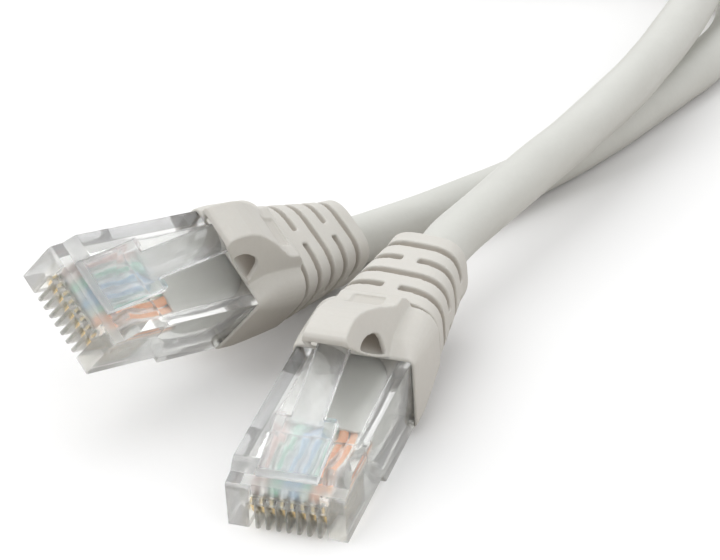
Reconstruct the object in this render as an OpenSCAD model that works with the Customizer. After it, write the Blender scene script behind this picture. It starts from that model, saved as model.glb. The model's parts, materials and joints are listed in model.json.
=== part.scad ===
// Ethernet patch cable. Two clear eight-contact plugs in moulded snagless boots are joined
// by one round cable, whose spare length lies in a tied two-layer coil.
// Millimetres, +Z up. Everything lies on the plane z = 0, and the two plugs stand around z.
// A plug is drawn in its own frame: x across it, y from its nose back, z towards its latch.

/* [Plug housing] */
// Width of the plug across its contacts
plug_w = 11.68; // [11.4:0.02:11.9]
// Length of the plug from its nose to its rear edge
plug_l = 22.3; // [21:0.1:23]
// Height of the plug from its contact side to its latch side
plug_h = 6.3; // [6.2:0.05:6.6]
// Height of the upright face of the nose
nose_h = 4.95; // [4.6:0.05:5.1]
// Length of the sloping step on top of the nose
nose_slope = 2.8; // [2.4:0.1:3.2]
// Depth of the rear half below the nose
keel_h = 1.25; // [0.9:0.05:1.5]
// Distance from the nose at which the deeper half begins
keel_at = 10.6; // [10:0.1:11.4]
// Wall beside the cavity that the cable enters
cavity_wall = 1.44; // [1.1:0.02:1.6]

/* [Contacts and wires] */
// Spacing of the eight contacts
contact_pitch = 1.016; // [1:0.004:1.03]
// Thickness of a contact blade
contact_t = 0.34; // [0.28:0.02:0.36]
// Length of a contact blade
contact_l = 6.3; // [5.8:0.1:6.6]
// Depth of the blade's edge below the mouth of its slot
contact_inset = 0.55; // [0.4:0.05:0.7]
// Width of the open slot in front of each contact
slot_w = 0.56; // [0.48:0.02:0.62]
// Height of the open slot
slot_h = 2.9; // [2.7:0.05:3]
// Height of the row of wires above the contact side
wire_z = 3.7; // [3.65:0.01:3.75]
// Diameter of one insulated wire
wire_d = 0.92; // [0.84:0.02:0.94]
// Diameter of its copper core
core_d = 0.5; // [0.4:0.02:0.54]

/* [Latch] */
// Width of the broad half of the latch
latch_w = 6; // [5.6:0.1:6.2]
// Width of the thumb tab behind it
latch_tab_w = 3.2; // [2.8:0.1:3.4]
// Thickness of the latch
latch_t = 0.72; // [0.6:0.02:0.8]
// Distance from the hinge to the locking shoulders
latch_shoulder = 6.7; // [6:0.1:7]
// Distance from the hinge to the end of the thumb tab
latch_l = 16.2; // [15:0.1:17]
// Angle at which the latch stands off the plug
latch_rise = 17.7; // [17.2:0.1:18]
// Angle that the latch is pressed through
latch_travel = 7; // [5:0.5:7]

/* [Boot] */
// Width of the boot's block
boot_w = 12.9; // [12.7:0.1:13.5]
// Height of the boot's block above the contact side
boot_top = 7.65; // [7.4:0.05:7.8]
// Thickness of the boot below the plug
boot_floor_t = 0.7; // [0.5:0.05:0.9]
// Length of plug that the boot grips
boot_grip = 1.7; // [1.4:0.1:3]
// Length of the boot's block
boot_l = 7.7; // [7.2:0.1:9]
// Radius of the block's long edges
boot_edge_r = 1.3; // [0.8:0.1:1.4]
// Length of the ribbed strain relief
relief_l = 13.5; // [13:0.1:15]
// Width of the strain relief where it leaves the block
relief_w = 12.2; // [11.6:0.1:12.6]
// Height of the strain relief where it leaves the block
relief_h = 9.4; // [9:0.1:9.5]
// Diameter of the strain relief's tail
tail_d = 8.2; // [8:0.1:9]
// Width of one groove
groove_w = 0.95; // [0.8:0.05:1.1]
// Depth of the grooves
groove_deep = 0.8; // [0.5:0.05:0.9]
// Spacing of the grooves
groove_pitch = 2.5; // [2.3:0.05:2.6]

/* [Latch guard] */
// Width of the guard along its top
guard_w = 4.6; // [4.4:0.1:5.2]
// Width of the guard at its foot
guard_foot_w = 7; // [6.8:0.1:7.4]
// Thickness of the guard's roof
guard_roof_t = 0.8; // [0.6:0.05:0.9]
// Thickness of the guard's side walls
guard_wall_t = 0.5; // [0.45:0.05:0.6]
// Height of the guard's crest above the contact side
guard_top = 13.8; // [13.4:0.05:14]
// Distance from the guard's lip to its hinge
guard_reach = 11; // [10.8:0.1:11.2]
// Angle that the guard is pressed through
guard_travel = 14; // [10:0.5:14]

/* [Cable] */
// Diameter of the cable
cable_d = 5.4; // [5:0.1:5.6]
// Thickness of the cable's jacket
jacket_t = 0.6; // [0.5:0.02:0.62]

/* [Coil] */
// Radius of the outermost turn
coil_r = 36; // [34:0.5:40]
// Space from one turn to the next
coil_gap = 0.5; // [0.45:0.05:1]

/* [Tie] */
// Width of the strap that holds the coil
tie_w = 6; // [4:0.5:7]
// Thickness of the strap
tie_t = 0.6; // [0.4:0.05:0.6]

/* [Hidden] */
$fn = 48;
ENDS = ["a", "b"];
WIRES = [1:8];

// How each plug lies: the place of its nose and its turn about z, x and y
plug_at = [[3.54, -25.09, 0], [-18.72, -6.2, 12.35]];
plug_turn = [[6.3, 0, -18.9], [-14.65, 37.2, -39]];
// How far each strain relief is bent aside by its cable
relief_turn = [5, -2];

// Clearances
snug = 0.02;
slip = 0.05;
knee = 1.08;
free = 0.08;
tail_slip = 0.12;
apart = 0.3;
past = 1;

// Plug, along y and z of its own frame
cable_z = 2.6;
wall_top = 0.9;
mid_w = 6.8;
mid_lean = 0.15;
mid_y = 0.3;
mid_z = 3.9;
hinge_y = 1;
hinge_z = plug_h - 0.3;
blade_y = 0.6;
wire_y = 1.6;
fan_y = [9, 11.2, 13.4];
fan_rise = 0.95;
jacket_y = fan_y[2] + 0.3;
jacket_bore = cable_d - 2 * jacket_t;
ring_r = jacket_bore / 2 - wire_d / 2 - free;
cavity_low = cable_z - cable_d / 2 - free;
cavity_high = plug_h - wall_top;
boot_y = plug_l - boot_grip;
block_end = boot_y + boot_l;
tail_y = block_end + relief_l;
tail_ring = 1.6;
boot_low = -keel_h - boot_floor_t;
rim_z = plug_h + 0.35;
bridge_w = 1.7;

// Guard: its hinge, and its outline from the lip back
pivot_r = 0.95;
pivot_y = 24.2;
pivot_z = boot_top + 0.25 + pivot_r;
lip_y = pivot_y - guard_reach;
lip_z = guard_top - 1.2;
foot_y = boot_y - 1;
strut_slope = (lip_z - rim_z) / (boot_y - lip_y);
strut_t = 0.55;

function x_of(i) = contact_pitch * (i - 4.5);
function turned(v, a) = let (
    p = [v.x, v.y * cos(a.x) - v.z * sin(a.x), v.y * sin(a.x) + v.z * cos(a.x)])
    [p.x * cos(a.z) - p.y * sin(a.z), p.x * sin(a.z) + p.y * cos(a.z), p.z];
// A point of a plug's frame in the part's frame. The roll about y comes first.
function rolled(v, a) = [v.x * cos(a.y) + v.z * sin(a.y), v.y, v.z * cos(a.y) - v.x * sin(a.y)];
function placed(end, v) = plug_at[end] + turned(rolled(v, plug_turn[end]), plug_turn[end]);
// A point on the axis of the strain relief, s behind the boot's block
function on_relief(end, s) = placed(end,
    [s * sin(relief_turn[end]), block_end + s * cos(relief_turn[end]), cable_z]);

module at_plug(end) {
    turn = plug_turn[end];
    translate(plug_at[end]) rotate([0, 0, turn.z]) rotate([turn.x, 0, 0]) rotate([0, turn.y, 0])
        children();
}

// A side outline, drawn in y and z, made w wide about x = 0
module across(w) rotate([90, 0, 90]) linear_extrude(w, center = true) children();

// A straight round bar or bore from y = from to y = to
module along(r, from, to, x = 0, z = 0)
    translate([x, from, z]) rotate([-90, 0, 0]) cylinder(r = r, h = to - from);

// A round bar across the plug
module pin_across(r, w, y, z) translate([-w / 2, y, z]) rotate([0, 90, 0]) cylinder(r = r, h = w);

// A box given by its half width in x, and its reach in y and z
module slab(half, y, z) translate([-half, y[0], z[0]]) cube([2 * half, y[1] - y[0], z[1] - z[0]]);

// ---- plug ----

module housing_outline()
    polygon([[0, 0], [0, nose_h], [1.65, nose_h + 0.3], [nose_slope - 0.5, plug_h - 0.3],
        [nose_slope, plug_h], [plug_l, plug_h], [plug_l, -keel_h], [keel_at + 1.6, -keel_h],
        [keel_at, 0]]);

module cavity_outline()
    polygon([[fan_y[0] - past, wire_z - wire_d / 2 - slip], [fan_y[0] - past, wire_z + 1],
        [fan_y[0] + 0.5, cavity_high - 0.4], [fan_y[1], cavity_high], [plug_l + past, cavity_high],
        [plug_l + past, cavity_low], [fan_y[1] + 0.8, cavity_low], [fan_y[0] + 0.5, 2.3]]);

module latch_frame(press = 0)
    translate([0, hinge_y, hinge_z]) rotate([latch_rise - press, 0, 0]) children();

module plug_housing() {
    color([0.86, 0.88, 0.87, 0.6]) difference() {
        across(plug_w) housing_outline();
        // the middle of the nose leans back under the latch
        across(mid_w) polygon([[-past, mid_z], [mid_y, mid_z], [mid_y + mid_lean, hinge_z],
            [mid_y + mid_lean, plug_h + past], [-past, plug_h + past]]);
        // room for the latch, down to where it is pressed
        pin_across(latch_t / 2 + free, latch_w + 2 * free, hinge_y, hinge_z);
        latch_frame(latch_travel) {
            slab(latch_w / 2 + free, [0, latch_l], [-latch_t / 2 - free, plug_h]);
            slab(latch_w / 2 + free, [-2, 0.01], [0, plug_h]);
        }
        // comb of open slots, and the narrow slots that grip the blades
        for (i = WIRES) translate([x_of(i), 0, 0]) {
            slab(slot_w / 2, [-past, blade_y + contact_l + slip], [-past, slot_h]);
            slab(contact_t / 2 + snug, [blade_y - slip, blade_y + contact_l + slip],
                [slot_h - past, wire_z]);
            along(wire_d / 2 + snug, wire_y - slip, fan_y[0] - past / 2, z = wire_z);
        }
        across(plug_w - 2 * cavity_wall) cavity_outline();
    }
}

module plug_latch()
    color([0.88, 0.9, 0.89, 0.6]) latch_frame() union() {
        pin_across(latch_t / 2, latch_w, 0, 0);
        slab(latch_w / 2, [0, latch_shoulder], [-latch_t / 2, latch_t / 2]);
        slab(latch_tab_w / 2, [latch_shoulder - 0.01, latch_l], [-latch_t / 2, latch_t / 2]);
    }

// ---- contacts and wires ----

tine_w = 0.4;
tine_pitch = 1.7;
TINES = [0:2];

module contact(i) {
    top = wire_z - wire_d / 2 - free;
    end = blade_y + contact_l;
    color("gold") translate([x_of(i), 0, 0]) across(contact_t) {
        polygon([[blade_y, contact_inset + 0.5], [blade_y + 0.35, contact_inset],
            [end - 0.7, contact_inset], [end, contact_inset + 0.7], [end, top], [blade_y, top]]);
        for (k = TINES) translate([wire_y + 0.5 + tine_pitch * k, top - 0.01])
            square([tine_w, wire_z - core_d / 2 - top]);
    }
}

// Where a wire goes: level past the contacts, then into the upper or the lower half of the
// jacket. Every second wire climbs out of the row first, so that neighbours stay clear.
function wire_path(i) = let (
    upper = i % 2 == 1,
    angle = 157.5 - 45 * floor((i - 1) / 2),
    ring = [ring_r * cos(angle), cable_z + (upper ? 1 : -1) * ring_r * sin(angle)])
    concat([[x_of(i), wire_y, wire_z]],
        upper ? [[x_of(i), fan_y[0], wire_z]] : [],
        [[x_of(i), fan_y[1], wire_z + (upper ? fan_rise : 0)], [ring[0], fan_y[2], ring[1]],
         [ring[0], block_end - 1, ring[1]]]);

module rod(from, to, r) {
    d = to - from;
    translate(from) rotate([0, acos(d.z / norm(d)), atan2(d.y, d.x)]) cylinder(r = r, h = norm(d));
}

module strand(path, r) {
    for (k = [1:len(path) - 1]) rod(path[k - 1], path[k], r);
    for (k = [1:len(path) - 2]) translate(path[k]) sphere(r = r * knee);
}

WIRE_COLORS = ["sienna", "mistyrose", "seagreen", "aliceblue", "steelblue", "honeydew",
    "darkorange", "papayawhip"];

module wire(i)
    color(WIRE_COLORS[i - 1]) difference() {
        strand(wire_path(i), wire_d / 2);
        along(core_d / 2 + snug, wire_y - past, fan_y[0] - 0.4, x_of(i), wire_z);
        for (k = TINES) translate([x_of(i), 0, 0])
            slab(contact_t / 2 + snug,
                [wire_y + 0.5 - snug + tine_pitch * k, wire_y + 0.5 + snug + tine_w + tine_pitch * k],
                [wire_z - wire_d, wire_z]);
    }

module copper_cores()
    color("peru") for (i = WIRES)
        along(core_d / 2, wire_y, fan_y[0] - 0.4 - snug, x_of(i), wire_z);

// What lies behind the boot's block turns with the strain relief
module behind_block(end)
    translate([0, block_end, 0]) rotate([0, 0, -relief_turn[end]]) translate([0, -block_end, 0])
        children();

module jacket_end()
    color([0.8, 0.8, 0.77]) difference() {
        along(cable_d / 2, jacket_y, block_end, z = cable_z);
        along(jacket_bore / 2, jacket_y - past, block_end - 1 + snug, z = cable_z);
    }

// ---- boot ----

// Bar along y with rounded long edges
module rounded_bar(w, z, y, r) {
    slab(w / 2 - r, y, z);
    slab(w / 2, y, [z[0] + r, z[1] - r]);
    for (x = [r - w / 2, w / 2 - r], h = [z[0] + r, z[1] - r]) along(r, y[0], y[1], x, h);
}

// Strain relief: two tapers and a cone cut each other, and leave a round tail
module relief(inset) {
    y = [block_end - 0.8, tail_y - tail_ring];
    low = [cable_z - relief_h / 2, cable_z - tail_d / 2];
    intersection() {
        across(relief_w) polygon([[y[0], low[0] + inset], [y[1], low[1] + inset],
            [y[1], 2 * cable_z - low[1] - inset], [y[0], 2 * cable_z - low[0] - inset]]);
        translate([0, 0, cable_z - relief_h]) linear_extrude(2 * relief_h)
            polygon([[inset - relief_w / 2, y[0]], [relief_w / 2 - inset, y[0]],
                [tail_d / 2 - inset, y[1]], [inset - tail_d / 2, y[1]]]);
        translate([0, y[0], cable_z]) rotate([-90, 0, 0])
            cylinder(r1 = relief_w * 0.56 - inset, r2 = tail_d / 2 - inset, h = y[1] - y[0]);
    }
}

// Grooves 3 and 5 run over the top and bottom, and the others down the two sides
module groove(k) {
    y = block_end + 1 + groove_pitch * (k - 1);
    over_top = k == 3 || k == 5;
    difference() {
        slab(relief_w, [y - groove_w / 2, y + groove_w / 2], [cable_z - relief_h, cable_z + relief_h]);
        relief(groove_deep);
        slab(over_top ? relief_w : (k == 1 ? guard_w / 2 : bridge_w / 2), [y - past, y + past],
            over_top ? [cable_z - bridge_w / 2, cable_z + bridge_w / 2]
                : [cable_z - relief_h, cable_z + relief_h]);
    }
}

// Raised block that carries the guard's hinge
module guard_root()
    intersection() {
        across(guard_foot_w) difference() {
            polygon([[pivot_y + 0.3, boot_top - past], [pivot_y + 0.3, pivot_z + pivot_r - 0.15],
                [27, boot_top + 1.55], [28, boot_top + 0.5], [28.6, boot_top - past]]);
            translate([pivot_y, pivot_z]) circle(r = pivot_r + free);
            // shallow pad on top
            translate([25.2, boot_top + 1.62]) square([1.4, past]);
        }
        guard_section(0, boot_top - past, guard_top);
    }

// Cross-section of the guard, wider at its foot
module guard_section(inset, low, high) {
    foot = guard_foot_w / 2 - inset;
    head = guard_w / 2 - inset;
    lean = (foot - head) / (guard_top - boot_top);
    translate([0, tail_y, 0]) rotate([90, 0, 0]) linear_extrude(tail_y)
        polygon([[-foot - lean * (boot_top - low), low], [foot + lean * (boot_top - low), low],
            [head, high], [-head, high]]);
}

module boot(end)
    color([0.83, 0.82, 0.79]) difference() {
        union() {
            intersection() {
                rounded_bar(boot_w, [boot_low, boot_top], [boot_y, block_end], boot_edge_r);
                // thin at the front rim, with a floor that rises to the strain relief
                across(boot_w + past) polygon([[boot_y - past, rim_z - 0.5], [boot_y, rim_z],
                    [boot_y + 2, boot_top], [boot_y + 2, boot_top + past],
                    [block_end + past, boot_top + past], [block_end + past, boot_low + 0.9],
                    [block_end, boot_low + 0.75], [boot_y, boot_low + 0.3],
                    [boot_y - past, boot_low + 0.3]]);
            }
            guard_root();
            behind_block(end) difference() {
                union() {
                    relief(0);
                    along(tail_d / 2, tail_y - tail_ring - 0.01, tail_y, z = cable_z);
                }
                for (k = [1:5]) groove(k);
            }
        }
        slab(plug_w / 2 + slip, [boot_y - past, plug_l + slip], [-keel_h - slip, plug_h + slip]);
        along(cable_d / 2 + snug, plug_l - past, block_end + 0.1, z = cable_z);
        behind_block(end) along(cable_d / 2 + tail_slip, block_end, tail_y + past, z = cable_z);
    }

// ---- latch guard ----

// Roof line from the lip back to the hinge
function roof(drop) = [[lip_y, lip_z + guard_roof_t - drop], [lip_y + 1, guard_top - 0.1 - drop],
    [lip_y + 2.3, guard_top - drop], [lip_y + 4.3, guard_top - 0.2 - drop],
    [lip_y + 6.6, guard_top - 0.95 - drop], [lip_y + 9.2, guard_top - 2.4 - drop]];

module guard_outline() {
    hinge = pivot_z + pivot_r;
    polygon(concat([[lip_y, lip_z]], roof(0), [[pivot_y, hinge], [pivot_y, pivot_z - pivot_r],
        [pivot_y - 3.3, boot_top + 0.9], [foot_y, lip_z - strut_slope * (foot_y - lip_y)]]));
    translate([pivot_y, pivot_z]) circle(r = pivot_r);
}

// Hollow under the roof, where the thumb tab lies
module guard_hollow() {
    polygon(concat([[lip_y - past, lip_z]], [for (p = roof(guard_roof_t)) p],
        [[pivot_y - 1.7, pivot_z + 0.6], [pivot_y - 1.9, boot_top - past],
            [lip_y - past, boot_top - past]]));
}

// D-shaped window in each side wall, flat along the strut
module guard_window() {
    tip = [lip_y + 1.8, lip_z - strut_slope * 1.8 + strut_t];
    low = lip_y + 7.4;
    polygon([tip, [lip_y + 3.3, guard_top - 2.3], [lip_y + 4.6, guard_top - 2.8],
        [lip_y + 5.6, guard_top - 3.5], [lip_y + 6.4, guard_top - 4.4], [lip_y + 7, guard_top - 5.4],
        [low, lip_z - strut_slope * (low - lip_y) + strut_t]]);
}

module latch_guard() {
    rib_y = 15.4;
    rib_low = hinge_z + latch_t / 2 / cos(latch_rise) + tan(latch_rise) * (rib_y + 0.8 - hinge_y) + 0.2;
    color([0.85, 0.84, 0.81]) {
        difference() {
            intersection() {
                across(guard_foot_w) guard_outline();
                guard_section(0, boot_top - past, guard_top);
            }
            intersection() {
                across(guard_foot_w) guard_hollow();
                guard_section(guard_wall_t, boot_top - 2 * past, guard_top);
            }
            across(guard_foot_w + past) guard_window();
            // the struts end just short of the boot's rim
            slab(guard_foot_w, [foot_y, foot_y + 2.4],
                [boot_top - past, lip_z - strut_slope * (foot_y - lip_y)]);
            slab(guard_foot_w, [foot_y, boot_y + 0.4], [boot_top - past, boot_top + 1.5]);
        }
        // rib that bears on the thumb tab
        slab(latch_tab_w / 2 - 0.2, [rib_y, rib_y + 0.8], [rib_low, guard_top - guard_roof_t / 2]);
    }
}

// ---- cable ----

unit = function (v) v / norm(v);

// A round tube through points. Its first and last rings are square to its ends.
module tube(path, sides) {
    last = len(path) - 1;
    rings = [for (k = [0:last])
        let (ahead = unit(path[min(k + 1, last)] - path[max(k - 1, 0)]),
            aside = unit(cross(ahead, [0, 0, 1])), up = cross(aside, ahead))
        for (s = [0:sides - 1]) let (a = 360 * (s + 0.5) / sides)
            path[k] + cable_d / 2 * (cos(a) * aside + sin(a) * up)];
    walls = [for (k = [0:last - 1], s = [0:sides - 1])
        let (p = k * sides + s, q = k * sides + (s + 1) % sides)
        each [[p, p + sides, q + sides], [p, q + sides, q]]];
    caps = [for (s = [1:sides - 2])
        each [[0, s, s + 1], [last * sides, last * sides + s + 1, last * sides + s]]];
    color([0.8, 0.8, 0.77]) polyhedron(rings, concat(walls, caps));
}

// Coil: the upper layer winds in, drops in half a turn, and the lower layer winds out
coil_at = [31.5, 138.5];
coil_start = -25;
upper_turns = 1.75;
lower_turns = 1.5 + 1 / 12;
coil_step = 15;
square_end = 3;
turn_pitch = cable_d + coil_gap;
strap_gap = 0.3;
lower_z = cable_d / 2 + tie_t + strap_gap;
upper_z = lower_z + turn_pitch;
drop_from = coil_start + 360 * upper_turns;
drop_to = drop_from + 180;
coil_end = drop_to + 360 * lower_turns;
inner_r = coil_r - turn_pitch * upper_turns;

function coil_point(a) =
    let (t = min(1, max(0, (a - drop_from) / 180)),
        r = inner_r + turn_pitch * (max(0, drop_from - a) + max(0, a - drop_to)) / 360
            - turn_pitch / 2 / PI * sin(180 * t))
    [coil_at.x + r * cos(a), coil_at.y + r * sin(a),
     (upper_z + lower_z) / 2 + turn_pitch / 2 * cos(180 * t)];
function coil_heading(a) = [-sin(a), cos(a), 0];

coil_in = coil_point(coil_start) - cable_d * coil_heading(coil_start);
coil_out = coil_point(coil_end) + cable_d * coil_heading(coil_end);
coil_path = concat([coil_in], [for (a = [coil_start:coil_step:coil_end + 1]) coil_point(a)],
    [coil_out]);

// Points of each strand between its boot and the coil, chosen by hand
run_a_points = [[24.4, 25, 8.2], [28.9, 32.5, 8.4], [33.4, 39.5, 8.5], [37.9, 47.5, 8.5],
    [42.4, 56, 8.6], [46.4, 65, 8.6], [49.9, 74, 8.7], [52.9, 83.5, 8.8], [55.4, 93, 9],
    [57, 102.2, 9.3], [59, 110.8, 9.5]];
run_b_points = [[19.4, 35, 2.7], [26.4, 40.5, 2.7], [32.4, 46.5, 2.7], [37.9, 53, 2.7], [42.9, 59.5, 2.7],
    [47.4, 66, 2.7], [51.4, 72, 2.7], [54.9, 78.5, 2.7], [56.9, 85.5, 2.7], [56.4, 92.8, 2.8],
    [53, 98.9, 3.1], [47.5, 103, 3.4]];
run_a = concat(in_relief(0), run_a_points, [coil_in - square_end * coil_heading(coil_start), coil_in]);
run_b = concat(in_relief(1), run_b_points, [coil_out + square_end * coil_heading(coil_end), coil_out]);

// A strand starts at the end of the jacket in the plug, and runs straight out of the tail
function in_relief(end) = [for (s = [apart, relief_l, relief_l + cable_d]) on_relief(end, s)];
function path_length(p) = sum_of([for (k = [1:len(p) - 1]) norm(p[k] - p[k - 1])]);
function sum_of(v, k = 0) = k < len(v) ? v[k] + sum_of(v, k + 1) : 0;
function least_gap(p, apart) =
    min([for (i = [0:len(p) - 1 - apart], j = [i + apart:len(p) - 1]) norm(p[i] - p[j])]) - cable_d;
echo("least gap of the coil to itself, mm", least_gap(coil_path, 12));
echo("cable lengths, mm", path_length(run_a), path_length(coil_path), path_length(run_b));

module cable_run_a() tube(run_a, 10);
module cable_coil() tube(coil_path, 6);
module cable_run_b() tube(run_b, 10);

// Strap round both layers at the far side of the coil
tie_angle = 90;
tie_tail = 12;

module cable_tie() {
    r = [for (a = [tie_angle:360:coil_end]) norm(coil_point(a) - [coil_at.x, coil_at.y, coil_point(a).z])];
    inner = min(r) - cable_d / 2 - strap_gap;
    outer = max(r) + cable_d / 2 + strap_gap;
    top = upper_z + cable_d / 2 + strap_gap;
    color([0.75, 0.75, 0.73]) translate(concat(coil_at, 0)) rotate([0, 0, tie_angle - 90])
        difference() {
            union() {
                slab(tie_w / 2, [inner - tie_t, outer + tie_t], [0, top + tie_t]);
                slab(tie_w / 2, [outer - tie_tail, outer + tie_t], [top, top + 2 * tie_t]);
            }
            slab(tie_w, [inner, outer], [tie_t, top]);
        }
}

// ---- draw ----

for (end = [0, 1]) {
    name = ENDS[end];
    at_plug(end) plug_housing();
    at_plug(end) plug_latch();
    at_plug(end) copper_cores();
    at_plug(end) jacket_end();
    at_plug(end) boot(end);
    at_plug(end) latch_guard();
    for (i = WIRES) {
        at_plug(end) contact(i);
        at_plug(end) wire(i);
    }
}
cable_run_a();
cable_coil();
cable_run_b();
cable_tie();
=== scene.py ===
import json
import math

import bmesh
import bpy
from mathutils import Matrix, Vector
from mathutils.bvhtree import BVHTree


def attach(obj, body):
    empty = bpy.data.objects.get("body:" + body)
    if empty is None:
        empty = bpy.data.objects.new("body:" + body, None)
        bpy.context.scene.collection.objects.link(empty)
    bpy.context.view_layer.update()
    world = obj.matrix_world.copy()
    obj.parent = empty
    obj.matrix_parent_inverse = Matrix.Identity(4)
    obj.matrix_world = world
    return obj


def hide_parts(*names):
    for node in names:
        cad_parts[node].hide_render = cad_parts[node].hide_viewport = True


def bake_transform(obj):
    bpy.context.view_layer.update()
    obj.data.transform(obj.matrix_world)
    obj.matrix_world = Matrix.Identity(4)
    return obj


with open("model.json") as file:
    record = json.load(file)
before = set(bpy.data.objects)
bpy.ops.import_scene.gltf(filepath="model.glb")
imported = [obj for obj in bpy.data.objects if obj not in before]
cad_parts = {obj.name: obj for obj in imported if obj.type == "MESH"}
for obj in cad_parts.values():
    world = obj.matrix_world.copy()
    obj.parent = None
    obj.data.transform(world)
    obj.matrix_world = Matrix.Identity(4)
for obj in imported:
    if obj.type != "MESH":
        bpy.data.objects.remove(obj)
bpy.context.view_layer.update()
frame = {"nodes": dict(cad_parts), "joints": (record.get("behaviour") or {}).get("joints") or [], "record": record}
print("stage: the packed frame is loaded")

mm = 0.001
scene = bpy.context.scene
joints = {joint["name"]: joint for joint in frame["joints"]}
mounts = {mount["name"]: mount for mount in frame["record"]["mounts"]}

# camera, floor and light

cameraSetup = {
    "target": Vector((10.78, 24.98, 0)) * mm,
    "distance": 368.6 * mm,
    "elevation": 28.0,
    "roll": -1.3,
    "lens": 175,
}


def makeCamera(setup):
    up = math.radians(setup["elevation"])
    forward = Vector((0, math.cos(up), -math.sin(up)))
    level, upright = Vector((1, 0, 0)), Vector((0, math.sin(up), math.cos(up)))
    roll = math.radians(setup["roll"])
    right = level * math.cos(roll) + upright * math.sin(roll)
    above = upright * math.cos(roll) - level * math.sin(roll)
    data = bpy.data.cameras.new("camera")
    data.lens = setup["lens"]
    data.sensor_width = 36
    data.clip_start = 0.01
    data.clip_end = 20
    camera = bpy.data.objects.new("camera", data)
    scene.collection.objects.link(camera)
    turn = Matrix((right, above, -forward)).transposed().to_4x4()
    camera.matrix_world = Matrix.Translation(setup["target"] - forward * setup["distance"]) @ turn
    scene.camera = camera


makeCamera(cameraSetup)
scene.view_settings.view_transform = "Standard"


# small helpers for materials

def newMaterial(name):
    material = bpy.data.materials.new(name)
    material.use_nodes = True
    tree = material.node_tree
    return material, tree, tree.nodes["Principled BSDF"]


def addNode(tree, kind, settings=None, **inputs):
    node = tree.nodes.new(kind)
    for key, value in (settings or {}).items():
        setattr(node, key, value)
    for key, value in inputs.items():
        socket = node.inputs[int(key[1:])] if key[0] == "i" and key[1:].isdigit() else node.inputs[key]
        if isinstance(value, bpy.types.NodeSocket):
            tree.links.new(value, socket)
        else:
            socket.default_value = value
    return node


# Noise on the piece's own coordinates; scale is in patches per metre.
def patchy(tree, scale, detail=3.0, source=None):
    where = source or addNode(tree, "ShaderNodeTexCoord").outputs["Object"]
    noise = addNode(tree, "ShaderNodeTexNoise", Vector=where, Scale=scale, Detail=detail, Roughness=0.55)
    return noise.outputs["Fac"]


# low where amount is 0, high where it is 1, for plain numbers.
def between(tree, amount, low, high):
    return addNode(tree, "ShaderNodeMapRange", i0=amount, i3=low, i4=high).outputs[0]


def blendColours(tree, amount, first, second, mode="MIX"):
    node = addNode(tree, "ShaderNodeMix", {"data_type": "RGBA", "blend_type": mode})
    for socket, value in ((node.inputs[0], amount), (node.inputs[6], first), (node.inputs[7], second)):
        if isinstance(value, bpy.types.NodeSocket):
            tree.links.new(value, socket)
        else:
            socket.default_value = value
    return node.outputs[2]


def bumpInto(tree, shader, height, distance, strength=1.0, under=None):
    node = addNode(tree, "ShaderNodeBump", Height=height, Distance=distance, Strength=strength)
    if under is not None:
        tree.links.new(under, node.inputs["Normal"])
    tree.links.new(node.outputs["Normal"], shader.inputs["Normal"])
    return node.outputs["Normal"]


stageSetup = {
    "floorSize": 6.0,
    "floorColour": (0.93, 0.93, 0.93, 1),
    "bounceColour": (0.42, 0.38, 0.34, 1),
    "throughPlastic": 0.7,
    "worldStrength": 0.81,
    "keyPower": 4.3,
    "keyAt": Vector((-0.35, 0.25, 0.75)),
    "keySize": 1.1,
    "fillPower": 1.2,
    "fillAt": Vector((0.5, -0.6, 0.5)),
    "fillSize": 0.7,
}


# 1 for camera, glossy and transmission rays.
def seenDirectly(tree):
    path = addNode(tree, "ShaderNodeLightPath")
    both = addNode(tree, "ShaderNodeMath", {"operation": "MAXIMUM"},
        i0=path.outputs["Is Camera Ray"], i1=path.outputs["Is Glossy Ray"])
    return addNode(tree, "ShaderNodeMath", {"operation": "MAXIMUM"},
        i0=both.outputs[0], i1=path.outputs["Is Transmission Ray"]).outputs[0]


def makeStage(setup):
    half = setup["floorSize"] / 2
    mesh = bpy.data.meshes.new("floor")
    mesh.from_pydata([(-half, -half, 0), (half, -half, 0), (half, half, 0), (-half, half, 0)], [], [(0, 1, 2, 3)])
    floor = bpy.data.objects.new("floor", mesh)
    scene.collection.objects.link(floor)
    material, tree, shader = newMaterial("palePaperFloor")
    shader.inputs["Roughness"].default_value = 0.9
    shader.inputs["Specular IOR Level"].default_value = 0.1
    colour = blendColours(tree, seenDirectly(tree), setup["bounceColour"], setup["floorColour"])
    tree.links.new(colour, shader.inputs["Base Color"])
    # what lies under the clear plugs still looks pale through them
    shader.inputs["Emission Color"].default_value = (1, 1, 1, 1)
    through = addNode(tree, "ShaderNodeLightPath").outputs["Is Transmission Ray"]
    tree.links.new(between(tree, through, 0.0, setup["throughPlastic"]), shader.inputs["Emission Strength"])
    mesh.materials.append(material)

    world = bpy.data.worlds.new("studio")
    scene.world = world
    world.use_nodes = True
    background = world.node_tree.nodes["Background"]
    strength = between(world.node_tree, seenDirectly(world.node_tree), setup["worldStrength"], 1.0)
    world.node_tree.links.new(strength, background.inputs["Strength"])
    background.inputs["Color"].default_value = (1, 1, 1, 1)

    for name in ("key", "fill"):
        lamp = bpy.data.lights.new(name, "AREA")
        lamp.energy = setup[name + "Power"]
        lamp.size = setup[name + "Size"]
        place = bpy.data.objects.new(name, lamp)
        scene.collection.objects.link(place)
        place.location = setup[name + "At"]
        place.rotation_euler = (-setup[name + "At"]).to_track_quat("-Z", "Y").to_euler()


makeStage(stageSetup)
print("stage: camera, floor and light")


# where each plug lies

hingeOfLatch = Vector((0, 1, 6.0))
latchRise = 17.7
reliefTurn = {"a": 5.0, "b": -2.0}
ends = ("a", "b")


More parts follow.
